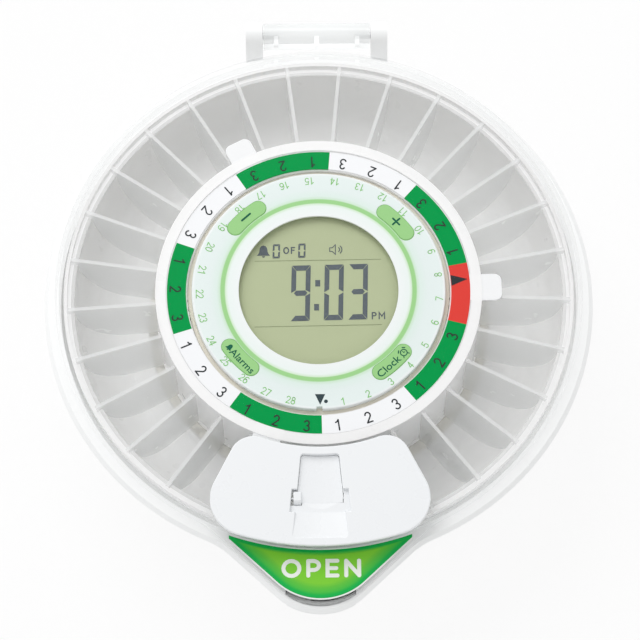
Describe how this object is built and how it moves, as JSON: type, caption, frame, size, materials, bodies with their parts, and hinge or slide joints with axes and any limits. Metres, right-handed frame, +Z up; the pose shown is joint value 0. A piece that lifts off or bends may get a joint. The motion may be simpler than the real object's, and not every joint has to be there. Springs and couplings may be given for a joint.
{
  "type": "automatic pill dispenser",
  "caption": "Round tray-type pill dispenser with a clear hinged lid, a dispensing hatch, a fixed display panel with buttons, and a motor-turned ring of dose compartments.",
  "frame": {"origin": "on the table under the tray's axis, at the middle of the rubber feet", "axes": "+Z up along the tray's axis, -Y towards the nose with the lock, +Y towards the lid's hinge, X across"},
  "size_m": [0.19, 0.2185, 0.0585],
  "materials": {
    "white_plastic": "glossy moulded",
    "cover_plastic": "fine spark-eroded",
    "clear_plastic": "polished clear moulding",
    "tray_plastic": "translucent moulding",
    "panel_plastic": "glossy with printed rings",
    "button_green": "satin",
    "hatch_white": "glossy moulded",
    "label_green": "printed film",
    "ring_print": "printed sheet",
    "display_lcd": "reflective liquid-crystal cell",
    "holder_white": "moulded",
    "drive_white": "moulded acetal",
    "pinion_brass": "cut",
    "steel": "ground",
    "screw_zinc": "zinc-plated",
    "motor_metal": "zinc-plated can",
    "board_green": "soldermask",
    "dark_plastic": "moulded",
    "box_black": "moulded",
    "cell_jacket": null,
    "contact_nickel": "nickel-plated spring steel",
    "rubber": "matt"
  },
  "bodies": {
    "base": {"base_shell": "white_plastic", "bottom_cover": "cover_plastic", "rubber_feet": "rubber", "case_screws": "screw_zinc", "battery_box": "box_black", "battery_cover": "cover_plastic", "battery_cover_screw": "screw_zinc", "battery_1": "cell_jacket", "battery_2": "cell_jacket", "battery_3": "cell_jacket", "battery_4": "cell_jacket", "battery_contacts": "contact_nickel", "gear_motor": "motor_metal", "motor_screws": "screw_zinc", "control_column": "holder_white", "column_screws": "screw_zinc", "main_board": "board_green", "board_screws": "screw_zinc", "buzzer": "dark_plastic", "button_switches": "dark_plastic", "display_holder": "holder_white", "display": "display_lcd", "control_panel": "panel_plastic", "display_lens": "clear_plastic", "hinge_pins": "steel"},
    "lid": {"lid": "clear_plastic", "hatch_frame": "hatch_white", "flap_pin": "steel", "open_label": "label_green"},
    "flap": {"dispensing_flap": "hatch_white"},
    "tray": {"tray": "tray_plastic", "tray_dividers": "tray_plastic", "dosage_ring": "ring_print", "drive_ring": "drive_white"},
    "pinion": {"pinion": "pinion_brass", "output_shaft": "steel"},
    "lock": {"lock_slider": "dark_plastic"},
    "clock_button": {"clock_button": "button_green"},
    "plus_button": {"plus_button": "button_green"},
    "minus_button": {"minus_button": "button_green"},
    "alarms_button": {"alarms_button": "button_green"}
  },
  "joints": [
    {"name": "lid_hinge", "type": "hinge", "parent": "base", "child": "lid", "pos_m": [0, 0.1012, 0.0485], "axis": [-1, 0, 0], "range_deg": [0, 110]},
    {"name": "flap_hinge", "type": "hinge", "parent": "lid", "child": "flap", "pos_m": [0, -0.07549, 0.056], "axis": [1, 0, 0], "range_deg": [0, 95]},
    {"name": "tray_spin", "type": "hinge", "parent": "base", "child": "tray", "pos_m": [0, 0, 0.03], "axis": [0, 0, 1], "continuous": true},
    {"name": "pinion_spin", "type": "hinge", "parent": "base", "child": "pinion", "pos_m": [0, 0.039, 0.0265], "axis": [0, 0, 1], "continuous": true},
    {"name": "lock_slide", "type": "slide", "parent": "base", "child": "lock", "axis": [1, 0, 0], "range_m": [0, 0.004]},
    {"name": "clock_button_press", "type": "slide", "parent": "base", "child": "clock_button", "axis": [0, 0, -1], "range_m": [0, 0.0005], "stiffness_N_per_m": 1000},
    {"name": "plus_button_press", "type": "slide", "parent": "base", "child": "plus_button", "axis": [0, 0, -1], "range_m": [0, 0.0005], "stiffness_N_per_m": 1000},
    {"name": "minus_button_press", "type": "slide", "parent": "base", "child": "minus_button", "axis": [0, 0, -1], "range_m": [0, 0.0005], "stiffness_N_per_m": 1000},
    {"name": "alarms_button_press", "type": "slide", "parent": "base", "child": "alarms_button", "axis": [0, 0, -1], "range_m": [0, 0.0005], "stiffness_N_per_m": 1000}
  ],
  "couplings": [
    {"joint": "pinion_spin", "follows": "tray_spin", "ratio": 6.5714}
  ]
}
